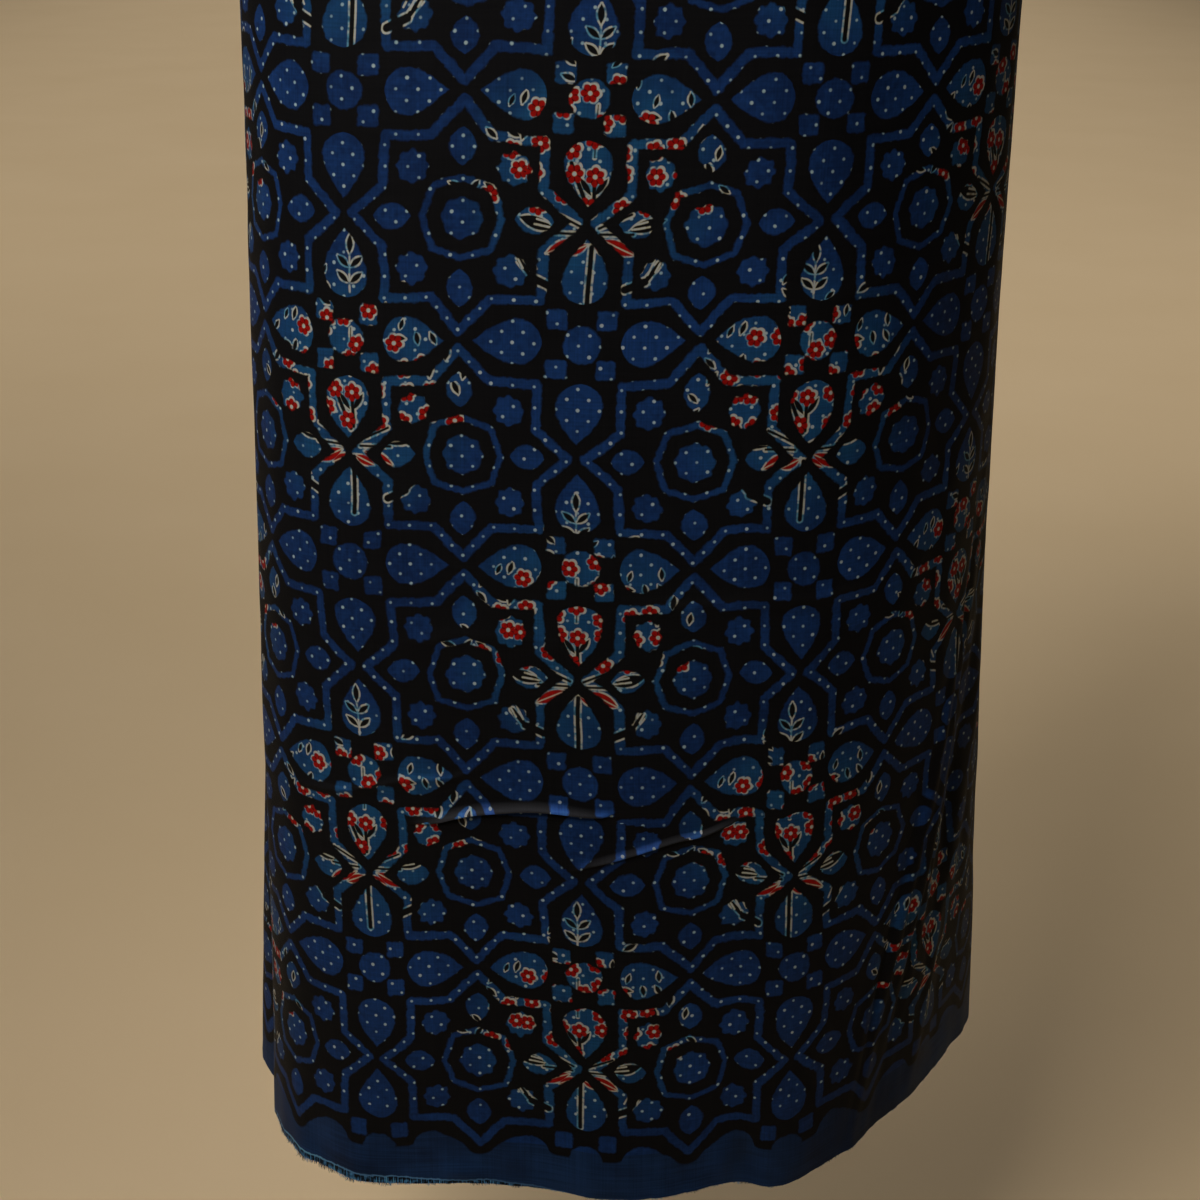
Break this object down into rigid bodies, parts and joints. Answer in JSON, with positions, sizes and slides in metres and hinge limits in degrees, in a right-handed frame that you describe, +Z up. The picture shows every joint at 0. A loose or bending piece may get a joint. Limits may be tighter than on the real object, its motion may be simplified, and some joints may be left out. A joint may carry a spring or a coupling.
{
  "type": "ajrakh cloth",
  "caption": "Block-printed indigo ajrakh cloth: one wide length wrapped into an open hanging tube, lapped at the back, with plain selvedge borders and a lightly frayed hem.",
  "frame": {"origin": "middle of the tube at the level of its top selvedge", "axes": "+Z up along the hanging tube, -Y out of the front of the cloth, +X to the right of someone looking at the front"},
  "size_m": [0.4593, 0.2874, 1.14],
  "materials": {
    "printed_cloth": "smooth woven cloth with a soft satin sheen, printed black, indigo, red and cream"
  },
  "bodies": {
    "root": {"cloth": "printed_cloth"}
  },
  "joints": []
}
